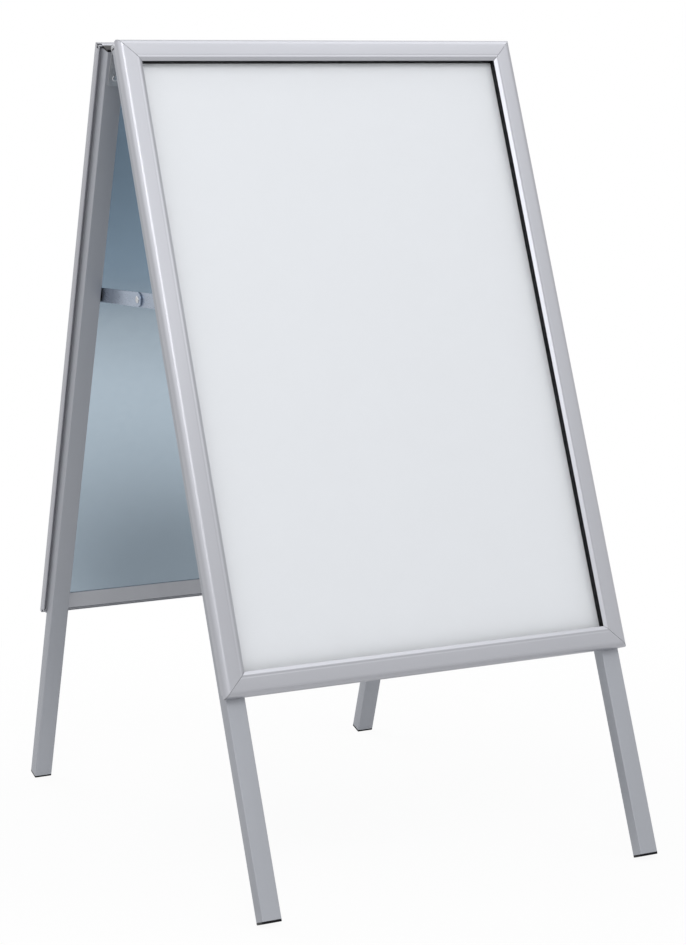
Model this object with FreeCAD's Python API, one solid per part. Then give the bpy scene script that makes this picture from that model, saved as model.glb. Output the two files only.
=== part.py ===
import FreeCAD, Part
import math
import os

# All sizes in millimetres. +Z up, the front leaf faces -Y, +X is to the right as seen from the front.

# Poster format, 24 x 36 in, and the sheets around it
poster_width = 609.6
poster_height = 914.4
poster_thickness = 0.3
panel_thickness = 0.8
cover_sheet_thickness = 1.0

# Snap frame section: u runs inward from the outer edge, h runs outward from the back
profile_width = 34.0
profile_height = 19.0
profile_wall = 1.5
edge_radius = 9.0
lip_width = 5.0
lip_drop = 3.1
lip_end_width = 1.8
lip_root_inset = 0.9
crease_softening = 0.7
mitre_gap = 0.3
seal_thickness = 1.4
seal_lean = 0.4

# Snap hinge along the outer edge
bead_radius = 1.3
bead_clearance = 0.3
hook_wall = 1.3
hook_lift = 0.2
hook_first_angle = 85.0
hook_last_angle = 250.0
hook_swing_clearance = 0.7
hook_relief_rise = 2.8
arm_thickness = 1.4

# Base chamber with the corner angles in it and the leaf springs on it
chamber_width = 10.0
chamber_height = 7.0
sheet_clearance = 4.5
angle_arm = 62.0
angle_clearance = 0.2
spring_length = 24.0
spring_thickness = 0.6
spring_margin = 1.5
spring_tip_width = 3.5
springs_across = 2
springs_along = 3

# Legs and end caps
tube_width = 29.0
tube_depth = 22.0
tube_wall = 1.5
tube_corner = 1.5
leg_inset = 6.5
frame_start = 21.0
leg_drop = 1.0
leg_reach = 305.6
cap_flange = 3.5
cap_softening = 1.0
cap_plug_length = 10.0
cap_plug_clearance = 0.2

# Lean of each leaf from upright, degrees
lean = 20.0

# Top hinges, one rivet in each leaf
hinge_width = 20.0
hinge_leaf = 2.5
knuckle_radius = 7.0
knuckle_clearance = 0.2
pin_clearance = 0.05
pin_overhang = 1.0
hinge_rivet_drop = 28.5
hinge_rivet_margin = 12.0
rivet_head_radius = 4.5
rivet_head_height = 1.4

# Folding stays
stay_place = 412.0
stay_thickness = 2.5
stay_gap = 0.2
spacer_margin = 1.0
elbow_clearance = 0.7
pivot_radius = 3.0
pivot_clearance = 0.05
pivot_head_radius = 5.5
pivot_head_height = 1.8

# Extra reach of every cutting body beyond what it cuts
overshoot = 1.0

# Section places that follow from the sizes above
hook_radius = bead_radius + bead_clearance + hook_wall
bead_u = hook_radius
bead_h = hook_radius + hook_lift
chamber_start = bead_u + hook_radius + hook_swing_clearance
chamber_end = chamber_start + chamber_width
sheet_edge = chamber_end + sheet_clearance
crease_u = profile_width - lip_width
lip_end_height = profile_height - lip_drop
ceiling = profile_height - profile_wall
panel_floor = profile_wall
poster_floor = panel_floor + panel_thickness
cover_sheet_floor = poster_floor + poster_thickness
seal_floor = cover_sheet_floor + cover_sheet_thickness

# Leaf places, measured down the slope from the line where the inner faces of the legs would meet
frame_width = poster_width + 2 * sheet_edge
frame_height = poster_height + 2 * sheet_edge
frame_end = frame_start + frame_height
frame_middle = 0.5 * (frame_start + frame_end)
leg_start = frame_start + leg_drop
leg_end = frame_end + leg_reach
leg_side = 0.5 * frame_width - leg_inset
leg_middle = leg_side - 0.5 * tube_width
lean_rad = math.radians(lean)
apex_height = leg_end * math.cos(lean_rad)

# Hinge and stay places
pin_radius = knuckle_radius - hinge_leaf - pin_clearance
axis_drop = knuckle_radius / math.sin(lean_rad)
axis_place = axis_drop * math.cos(lean_rad)
plug_end = leg_start + cap_flange + cap_plug_length
hinge_rivet_place = plug_end + hinge_rivet_drop
hinge_leaf_end = hinge_rivet_place + hinge_rivet_margin
stay_width = tube_depth
stay_depth = 0.5 * tube_depth
spacer_radius = 0.5 * stay_width - spacer_margin
spacer_thickness = pivot_head_height + elbow_clearance

AXIS_X = FreeCAD.Vector(1, 0, 0)
AXIS_Y = FreeCAD.Vector(0, 1, 0)
AXIS_Z = FreeCAD.Vector(0, 0, 1)
CENTRE = FreeCAD.Vector(0, 0, 0)
SIDES = (-1, 1)


def vec(x, y, z):
    """Short name for a vector."""
    return FreeCAD.Vector(x, y, z)


def box(low, high):
    """Box between two corner points."""
    return Part.makeBox(high[0] - low[0], high[1] - low[1], high[2] - low[2], vec(*low))


def rod(radius, start, length, direction):
    """Round bar from a start point along a direction."""
    return Part.makeCylinder(radius, length, vec(*start), direction)


def moved(shape, shift, turn=0.0, axis=AXIS_Z):
    """Copy of a shape turned about an axis through the origin, then shifted."""
    copy = shape.copy()
    copy.rotate(CENTRE, axis, turn)
    copy.translate(shift)
    return copy


def prism(points, vector):
    """Solid swept from a flat closed outline."""
    return Part.Face(Part.makePolygon(points + points[:1])).extrude(vector)


def edges_along(shape, axis):
    """Straight edges of a block that run along an axis."""
    return [edge for edge in shape.Edges if abs(edge.tangentAt(edge.FirstParameter).dot(axis)) > 0.9]


def section_point(u, h, x):
    """Point of a profile section: the outer edge faces +Y, the length runs along X."""
    return vec(x, -u, h)


def ring_point(angle, radius, x):
    """Point around the snap hinge bead, angle in degrees from inward towards the face."""
    turn = math.radians(angle)
    return section_point(bead_u + radius * math.cos(turn), bead_h + radius * math.sin(turn), x)


def mitred(shape, length):
    """Profile cut at both ends along the corner mitres."""
    half = 0.5 * length - mitre_gap
    reach = profile_width + overshoot
    outline = [
        vec(-half - overshoot, overshoot, -overshoot),
        vec(half + overshoot, overshoot, -overshoot),
        vec(half - reach, -reach, -overshoot),
        vec(reach - half, -reach, -overshoot),
    ]
    return shape.common(prism(outline, vec(0, 0, profile_height + 2 * overshoot)))


def base_profile(length):
    """Base of the snap frame: floor, corner-angle chamber and hinge bead."""
    start = -0.5 * length
    end = 0.5 * length
    floor = box((start, -profile_width, 0), (end, -chamber_start, profile_wall))
    chamber = box((start, -chamber_end, 0), (end, -chamber_start, chamber_height))
    hollow = box((start, profile_wall - chamber_end, profile_wall),
                 (end, -chamber_start - profile_wall, chamber_height - profile_wall))
    bead = rod(bead_radius, (start, -bead_u, bead_h), length, AXIS_X)
    half_arm = 0.5 * arm_thickness * math.sqrt(0.5)
    arm = prism([
        section_point(bead_u - half_arm, bead_h + half_arm, start),
        section_point(chamber_start, chamber_height, start),
        section_point(chamber_start + arm_thickness, chamber_height, start),
        section_point(chamber_start, chamber_height - arm_thickness, start),
        section_point(bead_u + half_arm, bead_h - half_arm, start),
    ], vec(length, 0, 0))
    solid = chamber.cut(hollow).fuse([floor, bead, arm]).removeSplitter()
    return mitred(solid, length)


def crease_points(x):
    """Start, middle and end of the softened crease between the flat face and the sloping lip."""
    slope = math.atan2(lip_drop, lip_width)
    radius = crease_softening / math.tan(0.5 * slope)
    inset = radius / math.cos(0.5 * slope) - radius
    start = section_point(crease_u - crease_softening, profile_height, x)
    middle = section_point(crease_u - inset * math.sin(0.5 * slope),
                           profile_height - inset * math.cos(0.5 * slope), x)
    end = section_point(crease_u + crease_softening * math.cos(slope),
                        profile_height - crease_softening * math.sin(slope), x)
    return start, middle, end


def cover_outline(x):
    """Closed outline of the hinged cover section at one place along its length."""
    inner_hook = bead_radius + bead_clearance
    inner_radius = edge_radius - profile_wall
    shoulder = profile_height - edge_radius
    slant = math.sqrt(0.5)
    join_angle = 180 - math.degrees(math.acos((bead_u - profile_wall) / hook_radius))
    last = hook_last_angle
    first = hook_first_angle

    def arc(a, b, c):
        return Part.Arc(a, b, c).toShape()

    def line(a, b):
        return Part.LineSegment(a, b).toShape()

    wall_low = ring_point(180, hook_radius, x)
    wall_high = section_point(0, shoulder, x)
    bend_middle = section_point(edge_radius * (1 - slant), shoulder + edge_radius * slant, x)
    face_start = section_point(edge_radius, profile_height, x)
    crease_start, crease_middle, crease_end = crease_points(x)
    lip_outer = section_point(profile_width, lip_end_height, x)
    lip_inner = section_point(profile_width - lip_end_width, lip_end_height, x)
    ceiling_end = section_point(crease_u - lip_root_inset, ceiling, x)
    ceiling_start = section_point(edge_radius, ceiling, x)
    inner_middle = section_point(edge_radius - inner_radius * slant, shoulder + inner_radius * slant, x)
    inner_high = section_point(profile_wall, shoulder, x)
    join = ring_point(join_angle, hook_radius, x)
    edges = [
        arc(ring_point(last, hook_radius, x), ring_point(0.5 * (last + 180), hook_radius, x), wall_low),
        line(wall_low, wall_high),
        arc(wall_high, bend_middle, face_start),
        line(face_start, crease_start),
        arc(crease_start, crease_middle, crease_end),
        line(crease_end, lip_outer),
        line(lip_outer, lip_inner),
        line(lip_inner, ceiling_end),
        line(ceiling_end, ceiling_start),
        arc(ceiling_start, inner_middle, inner_high),
        line(inner_high, join),
        arc(join, ring_point(0.5 * (join_angle + first), hook_radius, x), ring_point(first, hook_radius, x)),
        line(ring_point(first, hook_radius, x), ring_point(first, inner_hook, x)),
        arc(ring_point(first, inner_hook, x), ring_point(0.5 * (first + last), inner_hook, x),
            ring_point(last, inner_hook, x)),
        line(ring_point(last, inner_hook, x), ring_point(last, hook_radius, x)),
    ]
    return Part.Wire(edges)


def cover_profile(length):
    """Hinged cover with a hook around the base bead, relieved at the corners so it can swing."""
    end = 0.5 * length
    solid = mitred(Part.Face(cover_outline(-end)).extrude(vec(length, 0, 0)), length)
    relief_start = end - chamber_start
    relief_depth = -2 * hook_radius
    relief_height = bead_h + hook_relief_rise
    reliefs = [
        box((relief_start, relief_depth, -overshoot), (end + overshoot, overshoot, relief_height)),
        box((-end - overshoot, relief_depth, -overshoot), (-relief_start, overshoot, relief_height)),
    ]
    return solid.cut(reliefs)


def seal_strip(length):
    """Black seal between the cover lip and the clear sheet."""
    start = -0.5 * length
    outer = profile_width - 0.5 * (lip_end_width - seal_thickness)
    points = [
        section_point(outer, lip_end_height, start),
        section_point(outer - seal_thickness, lip_end_height, start),
        section_point(outer - seal_thickness - seal_lean, seal_floor, start),
        section_point(outer - seal_lean, seal_floor, start),
    ]
    return mitred(prism(points, vec(length, 0, 0)), length)


def leaf_spring():
    """Strip bent to a Z: its foot stands on the base chamber, its tip lies under the cover."""
    foot_start = chamber_start + spring_margin
    foot_end = chamber_end - spring_margin
    tip_start = edge_radius
    tip_end = tip_start + spring_tip_width
    rise = ceiling - chamber_height
    run = tip_end - foot_end
    strip_run = spring_thickness * math.hypot(run, rise) / rise
    bend = run * spring_thickness / rise
    low = chamber_height + spring_thickness
    high = ceiling - spring_thickness
    start = -0.5 * spring_length
    points = [
        section_point(foot_start, chamber_height, start),
        section_point(foot_end, chamber_height, start),
        section_point(tip_end, ceiling, start),
        section_point(tip_start, ceiling, start),
        section_point(tip_start, high, start),
        section_point(tip_end - bend - strip_run, high, start),
        section_point(foot_end + bend - strip_run, low, start),
        section_point(foot_start, low, start),
    ]
    return prism(points, vec(spring_length, 0, 0))


def frame_rails():
    """The four rails of a leaf: name, length, turn, place of the outer edge and spring count."""
    half = 0.5 * frame_width
    return [
        ("top", frame_width, 0.0, vec(0, -frame_start, tube_depth), springs_across),
        ("bottom", frame_width, 180.0, vec(0, -frame_end, tube_depth), springs_across),
        ("left", frame_height, 90.0, vec(-half, -frame_middle, tube_depth), springs_along),
        ("right", frame_height, -90.0, vec(half, -frame_middle, tube_depth), springs_along),
    ]


def rail_springs(length, place, turn, count):
    """Leaf springs of one rail, evenly spread along it."""
    places = [length * ((index + 0.5) / count - 0.5) for index in range(count)]
    return [moved(moved(leaf_spring(), vec(along, 0, 0)), place, turn) for along in places]


def frame_springs():
    """All leaf springs of one frame."""
    springs = []
    for name, length, turn, place, count in frame_rails():
        springs += rail_springs(length, place, turn, count)
    return Part.makeCompound(springs)


def corner_angles():
    """The four flat angles inside the base chambers."""
    near = chamber_start + profile_wall + angle_clearance
    far = chamber_end - profile_wall - angle_clearance
    reach = near + angle_arm
    thickness = chamber_height - 2 * profile_wall - angle_clearance
    floor = tube_depth + profile_wall
    outline = [(near, near), (reach, near), (reach, far), (far, far), (far, reach), (near, reach)]
    angles = []
    for side in SIDES:
        corner = side * 0.5 * frame_width
        for edge, inward in ((-frame_start, -1), (-frame_end, 1)):
            points = [vec(corner - side * a, edge + inward * b, floor) for a, b in outline]
            angles.append(prism(points, vec(0, 0, thickness)))
    return Part.makeCompound(angles)


def sheet(floor, thickness):
    """Flat sheet of the poster format lying in the frame."""
    low = (-0.5 * poster_width, -frame_middle - 0.5 * poster_height, tube_depth + floor)
    high = (0.5 * poster_width, -frame_middle + 0.5 * poster_height, tube_depth + floor + thickness)
    return box(low, high)


def leg_tube(side):
    """Rectangular leg tube, open at both ends, with a hole for the stay pivot; side is -1 left or 1 right."""
    middle = side * leg_middle
    half = 0.5 * tube_width
    low = cap_flange - leg_end
    high = -leg_start - cap_flange
    outer = box((middle - half, low, 0), (middle + half, high, tube_depth))
    outer = outer.makeChamfer(tube_corner, edges_along(outer, AXIS_Y))
    half_bore = half - tube_wall
    bore = box((middle - half_bore, low - overshoot, tube_wall),
               (middle + half_bore, high + overshoot, tube_depth - tube_wall))
    hole_start = (across(side, -tube_wall - overshoot), -stay_place, stay_depth)
    stay_hole = rod(pivot_radius, hole_start, tube_wall + 2 * overshoot, AXIS_X * -side)
    return outer.cut([bore, stay_hole])


def end_cap(side, place, outward):
    """Black cap on a leg end: flange outside, plug inside; outward is 1 at the top, -1 at the foot."""
    middle = side * leg_middle
    seat = -place - outward * cap_flange
    flange_low, flange_high = sorted((-place, seat))
    plug_low, plug_high = sorted((seat, seat - outward * cap_plug_length))
    half = 0.5 * tube_width
    flange = box((middle - half, flange_low, 0), (middle + half, flange_high, tube_depth))
    flange = flange.makeChamfer(cap_softening, edges_along(flange, AXIS_Y))
    deep = tube_wall + cap_plug_clearance
    half_plug = half - deep
    plug = box((middle - half_plug, plug_low, deep), (middle + half_plug, plug_high, tube_depth - deep))
    return flange.fuse(plug)


def end_caps():
    """The four end caps of one leaf."""
    tops = [end_cap(side, leg_start, 1) for side in SIDES]
    feet = [end_cap(side, leg_end, -1) for side in SIDES]
    return Part.makeCompound(tops + feet)


def knuckle_spans(middle):
    """Stretches of the hinge width that one leaf fills: the middle knuckle or the two outer ones."""
    half = 0.5 * hinge_width
    low = -hinge_width / 6
    high = hinge_width / 6
    gap = 0.5 * knuckle_clearance
    if middle:
        return [(low + gap, high - gap)]
    return [(-half, low - gap), (high + gap, half)]


def hinge_leaf_plate(side, rear):
    """Hinge leaf on a leg: flat plate rolled into knuckles around the pin."""
    middle = side * leg_middle
    half = 0.5 * hinge_width
    plate_start = axis_place + knuckle_radius + knuckle_clearance
    solid = box((middle - half, -hinge_leaf_end, -hinge_leaf), (middle + half, -plate_start, 0))
    for low, high in knuckle_spans(rear):
        width = high - low
        start = middle + low
        arm = box((start, -plate_start - overshoot, -hinge_leaf), (start + width, -axis_place, 0))
        knuckle = rod(knuckle_radius, (start, -axis_place, -knuckle_radius), width, AXIS_X)
        bore = rod(pin_radius + pin_clearance, (start - overshoot, -axis_place, -knuckle_radius),
                   width + 2 * overshoot, AXIS_X)
        solid = solid.fuse([arm, knuckle]).cut(bore)
    return solid.removeSplitter()


def hinge_rivet(side):
    """Head of the rivet that holds a hinge leaf on its leg."""
    head_start = -hinge_leaf - rivet_head_height
    return rod(rivet_head_radius, (side * leg_middle, -hinge_rivet_place, head_start), rivet_head_height, AXIS_Z)


def hinge_pins():
    """The two hinge pins, lying on the fold axis."""
    length = hinge_width + 2 * pin_overhang
    height = apex_height - axis_drop
    pins = [rod(pin_radius, (side * leg_middle - 0.5 * length, 0, height), length, AXIS_X) for side in SIDES]
    return Part.makeCompound(pins)


def on_leaf(shape, rear):
    """Leans a leaf-plane shape into place; the rear leaf is the front one turned about the upright axis."""
    placed = moved(shape, vec(0, 0, apex_height), 90.0 - lean, AXIS_X)
    if rear:
        placed.rotate(CENTRE, AXIS_Z, 180.0)
    return placed


def stay_pivot(front):
    """Pivot of a stay on its leg in the upright plane: Y and Z."""
    y = stay_place * math.sin(lean_rad) + stay_depth * math.cos(lean_rad)
    z = apex_height - stay_place * math.cos(lean_rad) + stay_depth * math.sin(lean_rad)
    return (-y if front else y), z


def stay_layers(front):
    """Start and end of a stay link, measured inward from the leg's inner side."""
    start = spacer_thickness
    if front:
        start += stay_thickness + stay_gap
    return start, start + stay_thickness


def across(side, distance):
    """X place a given distance inward from the leg's inner side."""
    return side * (leg_side - tube_width - distance)


def stay_link(side, front):
    """Flat link from its leg pivot to the elbow over the middle; the front one ends in a formed boss."""
    y, z = stay_pivot(front)
    start, end = stay_layers(front)
    inward = AXIS_X * -side
    x = across(side, start)
    half = 0.5 * stay_width
    outline = [vec(x, 0, z - half), vec(x, y, z - half), vec(x, y, z + half), vec(x, 0, z + half)]
    bar = prism(outline, inward * stay_thickness)
    ends = [rod(half, (x, place, z), stay_thickness, inward) for place in (0, y)]
    hole_start = across(side, start - overshoot)
    hole_length = stay_thickness + 2 * overshoot
    leg_hole = rod(pivot_radius + pivot_clearance, (hole_start, y, z), hole_length, inward)
    link = bar.fuse(ends).removeSplitter().cut(leg_hole)
    if not front:
        return link
    return link.fuse(rod(pivot_head_radius, (across(side, end), 0, z), pivot_head_height, inward))


def elbow_rivet(side):
    """Head of the elbow rivet, carried by the rear link on the side towards the leg."""
    start = stay_layers(False)[0] - pivot_head_height
    place = (across(side, start), 0, stay_pivot(False)[1])
    return rod(pivot_head_radius, place, pivot_head_height, AXIS_X * -side)


def stay_pivot_rivet(side, front):
    """Rivet on which a link turns on its leg."""
    y, z = stay_pivot(front)
    end = stay_layers(front)[1]
    inward = AXIS_X * -side
    shank = rod(pivot_radius, (across(side, -tube_wall), y, z), tube_wall + end, inward)
    head = rod(pivot_head_radius, (across(side, end), y, z), pivot_head_height, inward)
    return shank.fuse(head)


def stay_spacer(side, front):
    """Black washer between a leg and its link."""
    y, z = stay_pivot(front)
    thickness = stay_layers(front)[0]
    inward = AXIS_X * -side
    washer = rod(spacer_radius, (across(side, 0), y, z), thickness, inward)
    return washer.cut(rod(pivot_radius, (across(side, -overshoot), y, z), thickness + 2 * overshoot, inward))


def flat_pieces(rear):
    """Every piece of one leaf in the leaf's own plane, by its short name as seen on that leaf."""
    pieces = {
        "left_leg": leg_tube(-1),
        "right_leg": leg_tube(1),
        "end_caps": end_caps(),
        "corner_angles": corner_angles(),
        "springs": frame_springs(),
        "back_panel": sheet(panel_floor, panel_thickness),
        "poster": sheet(poster_floor, poster_thickness),
        "clear_sheet": sheet(cover_sheet_floor, cover_sheet_thickness),
        "hinge_leaves": Part.makeCompound([hinge_leaf_plate(side, rear) for side in SIDES]),
        "hinge_rivets": Part.makeCompound([hinge_rivet(side) for side in SIDES]),
    }
    for name, length, turn, place, count in frame_rails():
        pieces["base_" + name] = moved(base_profile(length), place, turn)
        pieces["cover_" + name] = moved(cover_profile(length), place, turn)
        pieces["seal_" + name] = moved(seal_strip(length), place, turn)
    return pieces


def mirrored_name(name):
    """Name of a rear-leaf piece as seen from the front, where left and right change places."""
    swapped = {"left": "right", "right": "left"}
    return "_".join(swapped.get(word, word) for word in name.split("_"))


def leaf_nodes(leaf, rear):
    """Every piece of one leaf by name, in place."""
    nodes = {}
    for name, shape in flat_pieces(rear).items():
        seen_name = mirrored_name(name) if rear else name
        nodes[leaf + "_" + seen_name] = on_leaf(shape, rear)
    nodes[leaf + "_stay_pivots"] = Part.makeCompound([stay_pivot_rivet(side, not rear) for side in SIDES])
    nodes[leaf + "_stay_spacers"] = Part.makeCompound([stay_spacer(side, not rear) for side in SIDES])
    return nodes


def stay_nodes():
    """Links and elbow rivets of both folding stays by name."""
    nodes = {}
    for label, side in (("left", -1), ("right", 1)):
        nodes[label + "_stay_front_link"] = stay_link(side, True)
        nodes[label + "_stay_rear_link"] = stay_link(side, False)
        nodes[label + "_stay_elbow_rivet"] = elbow_rivet(side)
    return nodes


def all_nodes():
    """Every piece of the stand by name, in place."""
    nodes = leaf_nodes("front", False)
    nodes.update(leaf_nodes("rear", True))
    nodes["hinge_pins"] = hinge_pins()
    nodes.update(stay_nodes())
    return nodes


os.makedirs("parts", exist_ok=True)
for node, shape in all_nodes().items():
    shape.exportStep(os.path.join("parts", node + ".step"))
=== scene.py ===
import logging
import math
from dataclasses import dataclass, replace
from enum import Enum

import bpy
import numpy as np
from mathutils import Matrix


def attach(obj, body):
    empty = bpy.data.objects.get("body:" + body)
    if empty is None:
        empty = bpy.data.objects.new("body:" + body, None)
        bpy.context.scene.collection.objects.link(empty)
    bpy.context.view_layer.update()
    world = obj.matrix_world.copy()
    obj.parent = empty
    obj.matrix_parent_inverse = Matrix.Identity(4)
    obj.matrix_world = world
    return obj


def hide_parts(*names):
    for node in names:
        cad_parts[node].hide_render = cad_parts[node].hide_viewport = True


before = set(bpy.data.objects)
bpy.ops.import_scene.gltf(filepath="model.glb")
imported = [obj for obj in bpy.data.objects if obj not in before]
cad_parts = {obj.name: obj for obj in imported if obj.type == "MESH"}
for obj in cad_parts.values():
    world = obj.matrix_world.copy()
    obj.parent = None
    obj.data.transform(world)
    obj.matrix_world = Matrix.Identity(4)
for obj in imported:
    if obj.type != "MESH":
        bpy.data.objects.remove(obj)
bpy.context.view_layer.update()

LOG = logging.getLogger("poster_stand")
MAP_NAME = "surface_map"

MM = 0.001
IMAGE_WIDTH = 686
SENSOR_WIDTH = 36.0
WHITE = (1.0, 1.0, 1.0, 1.0)

# Chords in a full round, a plain arc, a corner, a softened edge, a plate's rounded edge and a broken edge
ROUND_STEPS = 48
ARC_STEPS = 12
CORNER_STEPS = 6
SOFT_STEPS = 5
EDGE_STEPS = 4
BEVEL_STEPS = 2

# Radius of the small flat that closes a turned piece at its axis
AXIS_RADIUS = 0.2 * MM

Colour = tuple[float, float, float]
Point = tuple[float, float, float]
Span = tuple[float, float]
Socket = bpy.types.NodeSocket

# Where a cloudy pattern and a patchwork of cells start and end, and how strong a cloud's finer layers are
CLOUD_SPREAD: Span = (0.3, 0.7)
WHOLE_SPREAD: Span = (0.0, 1.0)
CLOUD_ROUGHNESS = 0.55


class Leaf(Enum):
    """The two leaves of the stand."""

    FRONT = "front"
    REAR = "rear"

    @property
    def body(self) -> str:
        """Body that carries the fixed pieces of the leaf."""
        return self.value + "_leaf"

    @property
    def facing(self) -> float:
        """1 for the leaf that faces minus Y, -1 for the one that faces plus Y."""
        return 1.0 if self is Leaf.FRONT else -1.0

    def seen_from_front(self, label: str) -> str:
        """Left or right of this leaf as it is named from the front of the stand."""
        swapped = {"left": "right", "right": "left"}
        return swapped.get(label, label) if self is Leaf.REAR else label


class Side(Enum):
    """Left and right."""

    LEFT = -1
    RIGHT = 1

    @property
    def label(self) -> str:
        """Name of the side."""
        return self.name.lower()


class Grain(Enum):
    """What the pattern of a finish follows: the map of the surface, or the space around the stand."""

    SURFACE = "UV"
    SPACE = "Object"


@dataclass(frozen=True)
class StandSizes:
    """Main sizes in metres; places run down the slope from the line where the legs' inner faces meet."""

    lean: float = math.radians(20.0)
    frame_width: float = 651.6 * MM
    frame_start: float = 21.0 * MM
    frame_end: float = 977.4 * MM
    tube_width: float = 29.0 * MM
    tube_depth: float = 22.0 * MM
    tube_corner: float = 1.5 * MM
    leg_side: float = 319.3 * MM
    leg_start: float = 22.0 * MM
    leg_end: float = 1283.0 * MM
    cap_flange: float = 3.5 * MM

    @property
    def frame_height(self) -> float:
        """Length of the snap frame up the slope."""
        return self.frame_end - self.frame_start

    @property
    def leg_middle(self) -> float:
        """Distance of a leg's middle line from the middle of the stand."""
        return self.leg_side - 0.5 * self.tube_width

    @property
    def apex_height(self) -> float:
        """Height of the line where the legs' inner faces meet."""
        return self.leg_end * math.cos(self.lean)


@dataclass(frozen=True)
class LeafPlane:
    """Plane of the legs' inner faces on one leaf: x across, v up the slope, n outward."""

    leaf: Leaf
    sizes: StandSizes

    def to_stand(self, points: np.ndarray) -> np.ndarray:
        """Carries leaf-plane points into the frame of the stand.

        Y is v times the sine of the lean less n times its cosine, and Z is the apex height plus v times
        the cosine plus n times the sine. The rear leaf is the front one turned half round the upright axis.

        Args:
            points: Array whose last axis holds x, v and n.

        Returns:
            Array of the same shape with X, Y and Z.
        """
        x, v, n = np.moveaxis(np.asarray(points, float), -1, 0)
        sine = math.sin(self.sizes.lean)
        cosine = math.cos(self.sizes.lean)
        y = v * sine - n * cosine
        z = self.sizes.apex_height + v * cosine + n * sine
        return np.stack([self.leaf.facing * x, self.leaf.facing * y, z], axis=-1)


@dataclass(frozen=True)
class Surface:
    """Closed faces of a piece: all faces' corners in one row, corners per face, and a map in metres."""

    points: np.ndarray
    corners: np.ndarray
    counts: np.ndarray
    corner_map: np.ndarray

    def placed(self, plane: LeafPlane) -> "Surface":
        """The same faces carried from the leaf plane into the stand."""
        return replace(self, points=plane.to_stand(self.points))

    def faces(self) -> list[list[int]]:
        """Point numbers of each face."""
        return [face.tolist() for face in np.split(self.corners, np.cumsum(self.counts)[:-1])]


def arc_points(centre: Span, radius: float, first: float, last: float, steps: int = ARC_STEPS) -> np.ndarray:
    """Points on an arc: the centre plus the radius times cosine and sine of evenly spread angles.

    Args:
        centre: Centre of the arc.
        radius: Radius.
        first: First angle in degrees.
        last: Last angle in degrees.
        steps: Number of chords.

    Returns:
        Array of steps + 1 points.
    """
    turn = np.radians(np.linspace(first, last, steps + 1))
    return np.stack([centre[0] + radius * np.cos(turn), centre[1] + radius * np.sin(turn)], axis=-1)


def rounded_rectangle(width: float, depth: float, radius: float) -> np.ndarray:
    """Outline of a rectangle about the origin with a quarter arc at each corner.

    Args:
        width: Size along the first direction.
        depth: Size along the second direction.
        radius: Corner radius.

    Returns:
        Array of outline points, going round once.
    """
    across = 0.5 * width - radius
    along = 0.5 * depth - radius
    return np.concatenate([
        arc_points((across, along), radius, 0.0, 90.0, CORNER_STEPS),
        arc_points((-across, along), radius, 90.0, 180.0, CORNER_STEPS),
        arc_points((-across, -along), radius, 180.0, 270.0, CORNER_STEPS),
        arc_points((across, -along), radius, 270.0, 360.0, CORNER_STEPS),
    ])


def bar_outline(first: float, last: float, radius: float) -> np.ndarray:
    """Outline of a flat bar with half-round ends about two points on the first direction.

    Args:
        first: Place of the lower end's centre.
        last: Place of the upper end's centre.
        radius: Half the width of the bar.

    Returns:
        Array of outline points, going round once.
    """
    return np.concatenate([
        arc_points((last, 0.0), radius, -90.0, 90.0, 2 * ARC_STEPS),
        arc_points((first, 0.0), radius, 90.0, 270.0, 2 * ARC_STEPS),
    ])


def loft(rings: np.ndarray) -> Surface:
    """Closed surface through a stack of closed rings, with a flat face on the first and the last ring.

    The map of a side is the way round the first ring and the way along the rings' middles, in metres, and
    that of an end is its place in the first ring's two widest directions. Rings that run anticlockwise, seen
    from the last ring's side, give faces that point outward. For the others the faces are turned over.

    Args:
        rings: Array of rings, points in a ring, and coordinates.

    Returns:
        The surface, its faces turned outward.
    """
    count, around = rings.shape[:2]
    points = rings.reshape(-1, 3)
    index = np.arange(count * around).reshape(count, around)
    after = np.roll(index, -1, axis=1)
    quads = np.stack([index[:-1], after[:-1], after[1:], index[1:]], axis=-1).reshape(-1, 4)
    ends = np.stack([index[0, ::-1], index[-1]])
    middles = rings.mean(axis=1)
    following = np.roll(rings[0], -1, axis=0)
    way_round = np.cumsum(np.linalg.norm(following - rings[0], axis=-1))
    way_along = np.cumsum(np.linalg.norm(np.diff(middles, axis=0), axis=-1))
    grid = np.stack(np.meshgrid(np.append(0.0, way_round), np.append(0.0, way_along)), axis=-1)
    quad_map = np.stack([grid[:-1, :-1], grid[:-1, 1:], grid[1:, 1:], grid[1:, :-1]], axis=2)
    quad_map = quad_map.reshape(-1, 4, 2)
    area = np.cross(rings[0], following).sum(axis=0)
    if area @ (middles[-1] - middles[0]) < 0.0:
        quads = quads[:, ::-1]
        quad_map = quad_map[:, ::-1]
        ends = ends[:, ::-1]
    widest = np.argsort(np.ptp(rings[0], axis=0))[-2:]
    end_map = points[ends][..., widest]
    counts = np.concatenate([np.full(len(quads), 4), np.full(len(ends), around)])
    corner_map = np.concatenate([quad_map.reshape(-1, 2), end_map.reshape(-1, 2)])
    return Surface(points, np.concatenate([quads.ravel(), ends.ravel()]), counts, corner_map)


def joined(surfaces: list[Surface]) -> Surface:
    """One surface out of several closed ones: point numbers move up by the count of points before them.

    Args:
        surfaces: The closed surfaces.

    Returns:
        The surface with all their faces.
    """
    starts = np.cumsum([0] + [len(surface.points) for surface in surfaces[:-1]])
    return Surface(
        np.concatenate([surface.points for surface in surfaces]),
        np.concatenate([surface.corners + start for surface, start in zip(surfaces, starts)]),
        np.concatenate([surface.counts for surface in surfaces]),
        np.concatenate([surface.corner_map for surface in surfaces]),
    )


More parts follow.
